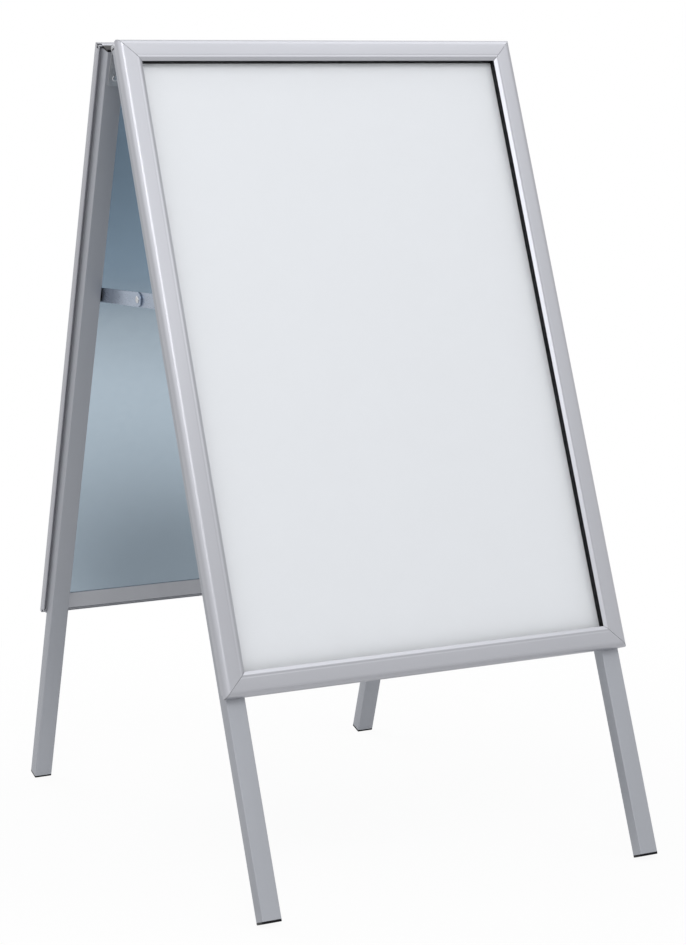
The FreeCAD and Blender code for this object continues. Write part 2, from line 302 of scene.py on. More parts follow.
def plate(outline: np.ndarray, inward: np.ndarray, depth: float, radius: float) -> np.ndarray:
    """Rings of a plate whose two outer edges follow a quarter arc.

    Each ring is the outline drawn in by the arc's distance from the side, at the arc's height.

    Args:
        outline: Outline points in two directions.
        inward: Unit directions that draw each outline point in.
        depth: Thickness.
        radius: Radius of the rounded edges.

    Returns:
        Array of rings with the height as the third coordinate.
    """
    rows = np.concatenate([
        arc_points((radius, radius), radius, 270.0, 180.0, EDGE_STEPS),
        arc_points((radius, depth - radius), radius, 180.0, 90.0, EDGE_STEPS),
    ])
    flat = outline[None] + rows[:, :1, None] * inward[None]
    height = np.broadcast_to(rows[:, 1, None, None], flat.shape[:2] + (1,))
    return np.concatenate([flat, height], axis=-1)


def turned(profile: np.ndarray, centre: Point, axis: Point) -> np.ndarray:
    """Rings of a profile turned about an axis.

    A ring point is the centre plus the height along the axis plus the radius times cosine and sine along
    two directions square to it.

    Args:
        profile: Rows with radius and height.
        centre: Foot of the axis.
        axis: Unit direction of the axis.

    Returns:
        Array of rings.
    """
    along = np.array(axis, float)
    helper = np.eye(3)[np.argmin(np.abs(along))]
    first = np.cross(along, helper)
    first /= np.linalg.norm(first)
    second = np.cross(along, first)
    turn = np.linspace(0.0, 2.0 * math.pi, ROUND_STEPS, endpoint=False)
    spokes = np.cos(turn)[:, None] * first + np.sin(turn)[:, None] * second
    radius, height = profile[:, 0], profile[:, 1]
    return np.array(centre) + height[:, None, None] * along + radius[:, None, None] * spokes[None]


def softened_bar(radius: float, length: float, edge: float) -> np.ndarray:
    """Profile of a round bar whose end edges are cut off at half a right angle.

    Args:
        radius: Radius of the bar.
        length: Length of the bar.
        edge: Width and height of the cut.

    Returns:
        Rows with radius and height.
    """
    return np.array([
        [AXIS_RADIUS, 0.0], [radius - edge, 0.0], [radius, edge],
        [radius, length - edge], [radius - edge, length], [AXIS_RADIUS, length],
    ])


@dataclass(frozen=True)
class DomedHead:
    """Head of a solid rivet: a short upright rim, a flat dome above it and a shallow dimple in the middle."""

    radius: float
    height: float
    rim: float
    dimple: float = 0.0
    axis_share: float = 0.04
    dimple_taper: float = 0.9
    dimple_edge: float = 0.75
    dimple_floor: float = 0.7

    def profile(self) -> np.ndarray:
        """Profile of the head: its dome is a quarter of an ellipse from the rim to the dimple.

        Returns:
            Rows with radius and height.
        """
        turn = np.linspace(0.0, 0.5 * math.pi, ARC_STEPS + 1)
        axis = self.axis_share * self.radius
        inner = max(self.dimple, axis)
        dome_radius = inner + (self.radius - inner) * np.cos(turn)
        dome_height = self.rim + (self.height - self.rim) * np.sin(turn)
        rows = [[[axis, 0.0], [self.radius, 0.0]], np.stack([dome_radius, dome_height], axis=-1)]
        if self.dimple:
            bowl_edge = [self.dimple_taper * self.dimple, self.dimple_edge * self.height]
            rows.append([bowl_edge, [axis, self.dimple_floor * self.height]])
        return np.concatenate(rows)


class NodeBench:
    """Adds and links the nodes of a tree."""

    def __init__(self, tree: bpy.types.NodeTree) -> None:
        """Starts on a tree."""
        self.tree = tree

    def add(self, kind: str, inputs: dict[str | int, object] | None = None,
            **settings: object) -> bpy.types.Node:
        """New node.

        Args:
            kind: Kind of node.
            inputs: Values of its sockets, by name or number.
            settings: Its own settings.

        Returns:
            The node.
        """
        node = self.tree.nodes.new(kind)
        for key, value in settings.items():
            setattr(node, key, value)
        for key, value in (inputs or {}).items():
            node.inputs[key].default_value = value
        return node

    def link(self, output: Socket, target: Socket) -> None:
        """Joins two sockets."""
        self.tree.links.new(output, target)

    def combine(self, operation: str, *values: Socket) -> Socket:
        """Number worked out from others.

        Args:
            operation: What the Math node does.
            values: What goes into it, in order.

        Returns:
            The result.
        """
        node = self.add("ShaderNodeMath", operation=operation)
        for value, target in zip(values, node.inputs):
            self.link(value, target)
        return node.outputs[0]

    def show_mixed(self, share: Socket, lit: Socket, white: Socket, output: str) -> None:
        """Shows a mix of two shaders.

        Args:
            share: Share of the white one.
            lit: Shader that takes part in the light.
            white: Shader that looks plain white.
            output: Name of the tree's output node.
        """
        mixed = self.add("ShaderNodeMixShader")
        self.link(share, mixed.inputs["Fac"])
        self.link(lit, mixed.inputs[1])
        self.link(white, mixed.inputs[2])
        self.link(mixed.outputs["Shader"], self.tree.nodes[output].inputs["Surface"])


class FinishBench(NodeBench):
    """Adds and links the nodes of one material."""

    def __init__(self, name: str) -> None:
        """Starts a material with its shader.

        Args:
            name: Name of the material.
        """
        self.material = bpy.data.materials.new(name)
        self.material.use_nodes = True
        super().__init__(self.material.node_tree)
        self.shader = self.tree.nodes["Principled BSDF"]

    def socket(self, name: str) -> Socket:
        """Input of the shader."""
        return self.shader.inputs[name]

    def coordinates(self, grain: Grain, scale: Point) -> Socket:
        """Coordinates of a pattern.

        Args:
            grain: What the pattern follows.
            scale: How often the pattern repeats per metre along each direction.

        Returns:
            The coordinates.
        """
        source = self.add("ShaderNodeTexCoord")
        mapping = self.add("ShaderNodeMapping", {"Scale": scale})
        self.link(source.outputs[grain.value], mapping.inputs["Vector"])
        return mapping.outputs["Vector"]

    def cloud(self, grain: Grain, scale: Point, detail: float) -> Socket:
        """Cloudy pattern.

        Args:
            grain: What the pattern follows.
            scale: How often the pattern repeats per metre along each direction.
            detail: How many finer layers it has.

        Returns:
            The pattern, mostly within CLOUD_SPREAD.
        """
        values = {"Scale": 1.0, "Detail": detail, "Roughness": CLOUD_ROUGHNESS}
        node = self.add("ShaderNodeTexNoise", values)
        self.link(self.coordinates(grain, scale), node.inputs["Vector"])
        return node.outputs["Fac"]

    def ramp(self, value: Socket, low: float, high: float, spread: Span) -> Socket:
        """Spreads a pattern between two values.

        Args:
            value: The pattern.
            low: Value at its start.
            high: Value at its end.
            spread: Where the pattern starts and ends.

        Returns:
            The spread pattern.
        """
        limits = {"From Min": spread[0], "From Max": spread[1], "To Min": low, "To Max": high}
        node = self.add("ShaderNodeMapRange", limits)
        self.link(value, node.inputs["Value"])
        return node.outputs["Result"]

    def blend(self, value: Socket, dark: Colour, light: Colour, spread: Span) -> Socket:
        """Colour between a dark and a light one by a pattern.

        Args:
            value: The pattern.
            dark: Colour at its start.
            light: Colour at its end.
            spread: Where the pattern starts and ends.

        Returns:
            The colour.
        """
        node = self.add("ShaderNodeValToRGB")
        for stop, place, colour in zip(node.color_ramp.elements, spread, (dark, light)):
            stop.position = place
            stop.color = (*colour, 1.0)
        self.link(value, node.inputs["Fac"])
        return node.outputs["Color"]

    def bump(self, value: Socket, depth: float) -> None:
        """Raises the surface by a pattern.

        Args:
            value: The pattern.
            depth: Depth in metres.
        """
        node = self.add("ShaderNodeBump", {"Strength": 1.0, "Distance": depth})
        self.link(value, node.inputs["Height"])
        self.link(node.outputs["Normal"], self.socket("Normal"))

    def clear_of(self, place: Socket, middle: Point, fade: Span, low: float = 0.0) -> Socket:
        """Value that rises to 1 with the distance from a point.

        Args:
            place: Coordinates in metres.
            middle: The point.
            fade: Distances at which the rise starts and ends.
            low: Value at the start.

        Returns:
            The value.
        """
        distance = self.add("ShaderNodeVectorMath", {1: middle}, operation="DISTANCE")
        self.link(place, distance.inputs[0])
        return self.ramp(distance.outputs["Value"], low, 1.0, fade)


@dataclass(frozen=True, kw_only=True)
class Finish:
    """What every finish has: two tones, two roughnesses and the depth of its relief."""

    name: str
    slot: str
    dark: Colour
    light: Colour
    smooth: float
    rough: float
    relief_depth: float
    spread: Span = CLOUD_SPREAD

    def patterns(self, bench: FinishBench) -> tuple[Socket, Socket, Socket]:
        """Patterns of the colour, the roughness and the bump, which each kind of finish gives."""
        raise NotImplementedError

    def complete(self, bench: FinishBench) -> None:
        """Sets what else a kind of finish has on its shader."""

    def make(self) -> bpy.types.Material:
        """Builds the material from the patterns of its kind.

        Returns:
            The material.
        """
        bench = FinishBench(self.name)
        tone, sheen, relief = self.patterns(bench)
        bench.link(bench.blend(tone, self.dark, self.light, self.spread), bench.socket("Base Color"))
        bench.link(bench.ramp(sheen, self.smooth, self.rough, self.spread), bench.socket("Roughness"))
        bench.bump(relief, self.relief_depth)
        self.complete(bench)
        return bench.material


@dataclass(frozen=True, kw_only=True)
class SatinMetal(Finish):
    """Metal with a broad faint mottle and fine lines drawn along it."""

    grain: Grain = Grain.SPACE
    line_scale: Point
    mottle_scale: Point
    metallic: float = 1.0
    drawn: float = 0.0

    def patterns(self, bench: FinishBench) -> tuple[Socket, Socket, Socket]:
        """Mottle in the colour, fine lines in the roughness and the bump."""
        lines = bench.cloud(self.grain, self.line_scale, detail=4.0)
        return bench.cloud(self.grain, self.mottle_scale, detail=3.0), lines, lines

    def complete(self, bench: FinishBench) -> None:
        """Sets the metal, and for drawn metal the way in which its lines stretch a reflection.

        Args:
            bench: Bench of the material.
        """
        bench.socket("Metallic").default_value = self.metallic
        if self.drawn:
            across = bench.add("ShaderNodeTangent", direction_type="UV_MAP", uv_map=MAP_NAME)
            bench.link(across.outputs["Tangent"], bench.socket("Tangent"))
            bench.socket("Anisotropic").default_value = self.drawn


@dataclass(frozen=True, kw_only=True)
class SpangledZinc(Finish):
    """Galvanised sheet: a patchwork of faint zinc crystals under a soft sheen."""

    crystal_scale: float
    wave_scale: float
    spread: Span = WHOLE_SPREAD

    def patterns(self, bench: FinishBench) -> tuple[Socket, Socket, Socket]:
        """Cell tones in the colour and the roughness, slow waves in the bump.

        Args:
            bench: Bench of the material.

        Returns:
            The three patterns.
        """
        cells = bench.add("ShaderNodeTexVoronoi", {"Scale": 1.0, "Randomness": 1.0})
        bench.link(bench.coordinates(Grain.SPACE, (self.crystal_scale,) * 3), cells.inputs["Vector"])
        split = bench.add("ShaderNodeSeparateColor")
        bench.link(cells.outputs["Color"], split.inputs["Color"])
        waves = bench.cloud(Grain.SPACE, (self.wave_scale,) * 3, detail=1.0)
        return split.outputs["Red"], split.outputs["Green"], waves

    def complete(self, bench: FinishBench) -> None:
        """Makes it all metal."""
        bench.socket("Metallic").default_value = 1.0


@dataclass(frozen=True, kw_only=True)
class MouldedBlack(Finish):
    """Black plastic or rubber with a fine moulded grain."""

    grain_scale: float
    wear_scale: float = 90.0
    gloss: float = 0.1

    def patterns(self, bench: FinishBench) -> tuple[Socket, Socket, Socket]:
        """Wear in the colour, the grain in the roughness and the bump."""
        grain = bench.cloud(Grain.SPACE, (self.grain_scale,) * 3, detail=3.0)
        return bench.cloud(Grain.SPACE, (self.wear_scale,) * 3, detail=3.0), grain, grain

    def complete(self, bench: FinishBench) -> None:
        """Sets the gloss."""
        bench.socket("Specular IOR Level").default_value = self.gloss


@dataclass(frozen=True, kw_only=True)
class PosterPaper(Finish):
    """Blank coated paper: an even pale white with faint clouds of fibre."""

    cloud_scale: float
    fibre_scale: float
    gloss: float

    def patterns(self, bench: FinishBench) -> tuple[Socket, Socket, Socket]:
        """Clouds in the colour and the roughness, fibre in the bump."""
        clouds = bench.cloud(Grain.SPACE, (self.cloud_scale,) * 3, detail=5.0)
        return clouds, clouds, bench.cloud(Grain.SPACE, (self.fibre_scale,) * 3, detail=2.0)

    def complete(self, bench: FinishBench) -> None:
        """Sets the gloss."""
        bench.socket("Specular IOR Level").default_value = self.gloss


@dataclass(frozen=True, kw_only=True)
class ClearPlastic(Finish):
    """Thin clear sheet: nearly all light goes through, a slight sheen stays."""

    haze_scale: float
    ripple_scale: float
    refraction: float
    cover: float

    def patterns(self, bench: FinishBench) -> tuple[Socket, Socket, Socket]:
        """Faint haze in the colour and the roughness, a long ripple in the bump."""
        haze = bench.cloud(Grain.SPACE, (self.haze_scale,) * 3, detail=4.0)
        return haze, haze, bench.cloud(Grain.SPACE, (self.ripple_scale,) * 3, detail=1.0)

    def complete(self, bench: FinishBench) -> None:
        """Sets how the sheet bends light and how much of what is behind it shows."""
        bench.socket("IOR").default_value = self.refraction
        bench.socket("Alpha").default_value = self.cover


ANODISED = SatinMetal(
    name="anodised_frame", slot="frame_aluminium", dark=(0.407, 0.413, 0.446), light=(0.431, 0.437, 0.47),
    smooth=0.36, rough=0.43, relief_depth=0.004 * MM, grain=Grain.SURFACE,
    line_scale=(2600.0, 5.0, 1.0), mottle_scale=(14.0, 2.0, 1.0), metallic=0.7, drawn=0.35)
ANODISED_BASE = SatinMetal(
    name="anodised_base", slot="frame_aluminium", dark=(0.44, 0.448, 0.478), light=(0.465, 0.473, 0.503),
    smooth=0.5, rough=0.58, relief_depth=0.003 * MM,
    line_scale=(900.0,) * 3, mottle_scale=(12.0, 12.0, 4.0), metallic=0.6)
ANODISED_TUBE = SatinMetal(
    name="anodised_tube", slot="tube_aluminium", dark=(0.36, 0.373, 0.406), light=(0.383, 0.396, 0.43),
    smooth=0.5, rough=0.58, relief_depth=0.004 * MM, grain=Grain.SURFACE,
    line_scale=(2400.0, 5.0, 1.0), mottle_scale=(16.0, 2.0, 1.0), metallic=0.65)
ZINC_STAY = SatinMetal(
    name="zinc_stay", slot="stay_steel", dark=(0.3, 0.355, 0.44), light=(0.35, 0.405, 0.495),
    smooth=0.24, rough=0.36, relief_depth=0.004 * MM,
    line_scale=(700.0, 120.0, 700.0), mottle_scale=(60.0, 30.0, 60.0), metallic=0.8)
ZINC_HINGE = SatinMetal(
    name="zinc_hinge", slot="hinge_steel", dark=(0.4, 0.41, 0.43), light=(0.47, 0.48, 0.5),
    smooth=0.26, rough=0.38, relief_depth=0.006 * MM,
    line_scale=(900.0,) * 3, mottle_scale=(120.0,) * 3, metallic=0.85)
RIVET_STEEL = SatinMetal(
    name="rivet_steel", slot="rivet_steel", dark=(0.46, 0.47, 0.49), light=(0.56, 0.57, 0.59),
    smooth=0.24, rough=0.34, relief_depth=0.004 * MM, line_scale=(1200.0,) * 3, mottle_scale=(200.0,) * 3)
SPRING_STEEL = SatinMetal(
    name="spring_steel", slot="spring_steel", dark=(0.36, 0.37, 0.39), light=(0.48, 0.49, 0.51),
    smooth=0.26, rough=0.36, relief_depth=0.004 * MM, line_scale=(900.0,) * 3, mottle_scale=(80.0,) * 3)
GALVANISED = SpangledZinc(
    name="galvanised_sheet", slot="galvanised_panel", dark=(0.44, 0.525, 0.6), light=(0.448, 0.533, 0.608),
    smooth=0.175, rough=0.19, relief_depth=0.3 * MM, crystal_scale=90.0, wave_scale=7.0)
BLACK_PLASTIC = MouldedBlack(
    name="black_plastic", slot="black_plastic", dark=(0.005, 0.005, 0.007), light=(0.009, 0.009, 0.011),
    smooth=0.22, rough=0.32, relief_depth=0.008 * MM, grain_scale=1800.0)
# Black of the lip seals: rubber, and partly painted shade, since the black strip fills the shaded gap under
# each lip
BLACK_RUBBER_AND_GAP_SHADE = MouldedBlack(
    name="black_rubber_and_gap_shade", slot="seal_rubber", dark=(0.008, 0.008, 0.01), light=(0.014, 0.014, 0.016),
    smooth=0.62, rough=0.74, relief_depth=0.015 * MM, grain_scale=2400.0)
PAPER = PosterPaper(
    name="blank_poster", slot="poster_paper", dark=(0.84, 0.86, 0.89), light=(0.85, 0.87, 0.9),
    smooth=0.5, rough=0.62, relief_depth=0.008 * MM, cloud_scale=60.0, fibre_scale=2200.0, gloss=0.3)
CLEAR = ClearPlastic(
    name="clear_cover", slot="clear_plastic", dark=(0.86, 0.88, 0.91), light=(0.875, 0.895, 0.925),
    smooth=0.32, rough=0.4, relief_depth=0.15 * MM, haze_scale=45.0, ripple_scale=6.0,
    refraction=1.49, cover=0.1)


class Workshop:
    """Turns surfaces into pieces of the stand and keeps one material per finish."""

    def __init__(self) -> None:
        """Starts with no materials."""
        self.materials: dict[str, bpy.types.Material] = {}

    def material(self, finish: Finish) -> bpy.types.Material:
        """Material of a finish, made on first use.

        Args:
            finish: The finish.

        Returns:
            Its material.
        """
        if finish.name not in self.materials:
            self.materials[finish.name] = finish.make()
        return self.materials[finish.name]

    def piece(self, name: str, surface: Surface, finish: Finish, body: str, nodes: list[str],
              bevel: float = 0.0, crease: float = 32.0) -> None:
        """Makes one piece, lets it ride on its body and stand for its nodes.

        Args:
            name: Name of the piece.
            surface: Its faces.
            finish: Its finish.
            body: Body that carries it.
            nodes: Nodes of the model that it stands for.
            bevel: Width in metres by which sharp edges are broken, 0 for none.
            crease: Angle in degrees from which an edge stays sharp.
        """
        mesh = bpy.data.meshes.new(name)
        mesh.from_pydata(surface.points.tolist(), [], surface.faces())
        layer = mesh.uv_layers.new(name=MAP_NAME)
        layer.data.foreach_set("uv", surface.corner_map.astype(np.float32).ravel())
        mesh.polygons.foreach_set("use_smooth", np.ones(len(mesh.polygons), dtype=bool))
        mesh.set_sharp_from_angle(angle=math.radians(crease))
        mesh.materials.append(self.material(finish))
        made = bpy.data.objects.new(name, mesh)
        bpy.context.scene.collection.objects.link(made)
        if bevel:
            broken = made.modifiers.new("broken_edges", "BEVEL")
            broken.width = bevel
            broken.segments = BEVEL_STEPS
            broken.limit_method = "ANGLE"
            broken.angle_limit = math.radians(crease)
            broken.harden_normals = True
        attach(made, body)
        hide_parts(*nodes)
        LOG.info("piece %s on %s: %d faces", name, body, len(surface.counts))

    def dress(self, node: str, finish: Finish) -> None:
        """Gives a node of the model its finish.

        Args:
            node: Name of the node.
            finish: The finish.
        """
        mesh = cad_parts[node].data
        mesh.materials.clear()
        mesh.materials.append(self.material(finish))
        LOG.info("node %s: %s", node, finish.name)


@dataclass(frozen=True)
class SnapFrame:
    """Four hinged covers over the base rails of one leaf; u runs inward, h outward from the back."""

    plane: LeafPlane
    width: float = 34.0 * MM
    height: float = 19.0 * MM
    wall: float = 1.5 * MM
    edge_radius: float = 9.0 * MM
    lip_width: float = 5.0 * MM
    lip_drop: float = 3.1 * MM
    lip_end_width: float = 1.8 * MM
    lip_root_inset: float = 0.9 * MM
    crease_softening: float = 0.7 * MM
    groove_width: float = 4.6 * MM
    groove_depth: float = 0.2 * MM
    mitre_gap: float = 0.3 * MM
    hook_radius: float = 2.9 * MM
    hook_bore: float = 1.6 * MM
    hook_lift: float = 0.2 * MM
    hook_first_angle: float = 85.0
    hook_last_angle: float = 250.0
    relief_length: float = 6.5 * MM
    relief_height: float = 5.9 * MM
    broken_edge: float = 0.25 * MM
    sheet_width: float = 609.6 * MM
    sheet_height: float = 914.4 * MM
    sheet_low: float = 2.7 * MM
    sheet_high: float = 3.6 * MM

    def face_outline(self) -> np.ndarray:
        """Outline of a cover above the corner relief: side, rounded edge, face, sloping lip and inside.

        Returns:
            Rows with u and h, going round once.
        """
        ceiling = self.height - self.wall
        crease = self.width - self.lip_width
        slope = math.atan2(self.lip_drop, self.lip_width)
        bend = (self.edge_radius, self.height - self.edge_radius)
        soft_radius = self.crease_softening / math.tan(0.5 * slope)
        soft_centre = (crease - self.crease_softening, self.height - soft_radius)
        lip_end = self.height - self.lip_drop
        return np.concatenate([
            [[0.0, self.relief_height]],
            arc_points(bend, self.edge_radius, 180.0, 90.0),
            self.groove_outline(soft_centre[0]),
            arc_points(soft_centre, soft_radius, 90.0, 90.0 - math.degrees(slope), SOFT_STEPS),
            [[self.width, lip_end], [self.width - self.lip_end_width, lip_end]],
            [[crease - self.lip_root_inset, ceiling]],
            arc_points(bend, self.edge_radius - self.wall, 90.0, 180.0),
            [[self.wall, self.relief_height]],
        ])

    def groove_outline(self, ridge: float) -> np.ndarray:
        """Shallow groove in the face beside the lip: its depth follows one whole wave of a raised cosine.

        Args:
            ridge: Where the groove ends and the crease of the lip begins.

        Returns:
            Rows with u and h.
        """
        share = np.linspace(0.0, 1.0, ARC_STEPS + 1)[:-1]
        depth = 0.5 * self.groove_depth * (1.0 - np.cos(2.0 * math.pi * share))
        return np.stack([ridge - self.groove_width * (1.0 - share), self.height - depth], axis=-1)

    def hook_outline(self) -> np.ndarray:
        """Outline of a cover below the corner relief: the hook that grips the bead of the base.

        Returns:
            Rows with u and h, going round once.
        """
        bead = (self.hook_radius, self.hook_radius + self.hook_lift)
        join = 180.0 - math.degrees(math.acos((bead[0] - self.wall) / self.hook_radius))
        return np.concatenate([
            arc_points(bead, self.hook_radius, self.hook_last_angle, 180.0),
            [[0.0, self.relief_height], [self.wall, self.relief_height]],
            arc_points(bead, self.hook_radius, join, self.hook_first_angle, EDGE_STEPS),
            arc_points(bead, self.hook_bore, self.hook_first_angle, self.hook_last_angle),
        ])

    def rail_rings(self, outline: np.ndarray, reach: np.ndarray) -> np.ndarray:
        """Two rings of a rail lying along x: the outline at each end, u turned to minus v.

        Args:
            outline: Rows with u and h.
            reach: Distance of each outline point's ends from the rail's middle.

        Returns:
            Array of two rings with x, v and n.
        """
        u, h = outline[:, 0], outline[:, 1]
        return np.stack([np.stack([end * reach, -u, h], axis=-1) for end in (-1.0, 1.0)])

    def cover_surface(self, length: float, turn: float, place: Point) -> Surface:
        """One cover: the mitred face part and the shorter hook part, turned and set on the leaf.

        Args:
            length: Length of the rail along its outer edge.
            turn: Turn in the plane of the leaf, in degrees from the top rail.
            place: Middle of the rail's outer edge in the leaf plane.

        Returns:
            The surface in the leaf plane.
        """
        face = self.face_outline()
        hook = self.hook_outline()
        parts = [
            self.rail_rings(face, 0.5 * length - self.mitre_gap - face[:, 0]),
            self.rail_rings(hook, np.full(len(hook), 0.5 * length - self.relief_length)),
        ]
        cosine = math.cos(math.radians(turn))
        sine = math.sin(math.radians(turn))
        spin = np.array([[cosine, -sine, 0.0], [sine, cosine, 0.0], [0.0, 0.0, 1.0]])
        return joined([loft(rings @ spin.T + np.array(place)) for rings in parts])

    def sheet_surface(self) -> Surface:
        """Clear sheet: a flat box a hair above the poster, so that the two share no face.

        Returns:
            The surface in the leaf plane.
        """
        sizes = self.plane.sizes
        middle = 0.5 * (sizes.frame_start + sizes.frame_end)
        corners = np.array([[-0.5, -0.5], [0.5, -0.5], [0.5, 0.5], [-0.5, 0.5]])
        flat = corners * (self.sheet_width, self.sheet_height) - (0.0, middle)
        levels = sizes.tube_depth + np.array([self.sheet_low, self.sheet_high])
        return loft(np.stack([np.column_stack([flat, np.full(len(flat), level)]) for level in levels]))

    def rails(self) -> list[tuple[str, float, float, Point]]:
        """The four rails.

        Returns:
            Name as seen on the leaf, length, turn and place of the outer edge for each.
        """
        sizes = self.plane.sizes
        half = 0.5 * sizes.frame_width
        middle = -0.5 * (sizes.frame_start + sizes.frame_end)
        depth = sizes.tube_depth
        return [
            ("top", sizes.frame_width, 0.0, (0.0, -sizes.frame_start, depth)),
            ("bottom", sizes.frame_width, 180.0, (0.0, -sizes.frame_end, depth)),
            ("left", sizes.frame_height, 90.0, (-half, middle, depth)),
            ("right", sizes.frame_height, -90.0, (half, middle, depth)),
        ]

    def build(self, shop: Workshop) -> None:
        """Makes the four covers and dresses bases, seals, sheets, angles and springs.

        Args:
            shop: Workshop that makes the pieces.
        """
        leaf = self.plane.leaf
        for label, length, turn, place in self.rails():
            seen = leaf.seen_from_front(label)
            surface = self.cover_surface(length, turn, place).placed(self.plane)
            shop.piece(f"{leaf.value}_snap_cover_{seen}", surface, ANODISED, f"{leaf.value}_{seen}_cover",
                       [f"{leaf.value}_cover_{seen}"], bevel=self.broken_edge)
            shop.dress(f"{leaf.value}_base_{seen}", ANODISED_BASE)
            # The seal's black strip fills the shaded gap under the lip, so its black is partly painted shade
            shop.dress(f"{leaf.value}_seal_{seen}", BLACK_RUBBER_AND_GAP_SHADE)
        shop.dress(f"{leaf.value}_back_panel", GALVANISED)
        shop.dress(f"{leaf.value}_poster", PAPER)
        sheet = self.sheet_surface().placed(self.plane)
        shop.piece(f"{leaf.value}_clear_cover_sheet", sheet, CLEAR, leaf.body, [f"{leaf.value}_clear_sheet"])
        shop.dress(f"{leaf.value}_corner_angles", ANODISED_BASE)
        shop.dress(f"{leaf.value}_springs", SPRING_STEEL)


@dataclass(frozen=True)
class LegFrame:
    """The two legs of a leaf with their end caps."""

    plane: LeafPlane
    cap_edge: float = 0.9 * MM

    def leg_surface(self, side: Side) -> Surface:
        """Leg tube: a rounded rectangle carried straight down the slope.

        Args:
            side: Side of the leg.

        Returns:
            The surface in the leaf plane.
        """
        sizes = self.plane.sizes
        outline = rounded_rectangle(sizes.tube_width, sizes.tube_depth, sizes.tube_corner)
        x = side.value * sizes.leg_middle + outline[:, 0]
        n = 0.5 * sizes.tube_depth + outline[:, 1]
        ends = (-sizes.leg_start - sizes.cap_flange, sizes.cap_flange - sizes.leg_end)
        return loft(np.stack([np.stack([x, np.full(len(x), end), n], axis=-1) for end in ends]))

    def cap_surface(self, side: Side, place: float, outward: int) -> Surface:
        """End cap: the leg's outline, each corner drawn in both ways along a quarter arc at the outer edge.

        Args:
            side: Side of the leg.
            place: Distance of the cap's outer face down the slope.
            outward: 1 for the top cap, -1 for the foot.

        Returns:
            The surface in the leaf plane.
        """
        sizes = self.plane.sizes
        turn = np.linspace(0.0, 0.5 * math.pi, SOFT_STEPS + 1)
        inset = np.append(0.0, self.cap_edge * (1.0 - np.cos(turn)))
        below = np.append(sizes.cap_flange, self.cap_edge * (1.0 - np.sin(turn)))
        outline = rounded_rectangle(sizes.tube_width, sizes.tube_depth, sizes.tube_corner)
        flat = outline[None] - inset[:, None, None] * np.sign(outline)[None]
        x = side.value * sizes.leg_middle + flat[..., 0]
        v = np.broadcast_to(-place - outward * below[:, None], x.shape)
        return loft(np.stack([x, v, 0.5 * sizes.tube_depth + flat[..., 1]], axis=-1))

    def build(self, shop: Workshop) -> None:
        """Makes legs and end caps.

        Args:
            shop: Workshop that makes the pieces.
        """
        leaf = self.plane.leaf
        sizes = self.plane.sizes
        for side in Side:
            seen = leaf.seen_from_front(side.label)
            surface = self.leg_surface(side).placed(self.plane)
            shop.piece(f"{leaf.value}_{seen}_leg_tube", surface, ANODISED_TUBE, leaf.body,
                       [f"{leaf.value}_{seen}_leg"])
        caps = [self.cap_surface(side, sizes.leg_start, 1) for side in Side]
        caps += [self.cap_surface(side, sizes.leg_end, -1) for side in Side]
        shop.piece(f"{leaf.value}_leg_caps", joined(caps).placed(self.plane), BLACK_PLASTIC, leaf.body,
                   [f"{leaf.value}_end_caps"])


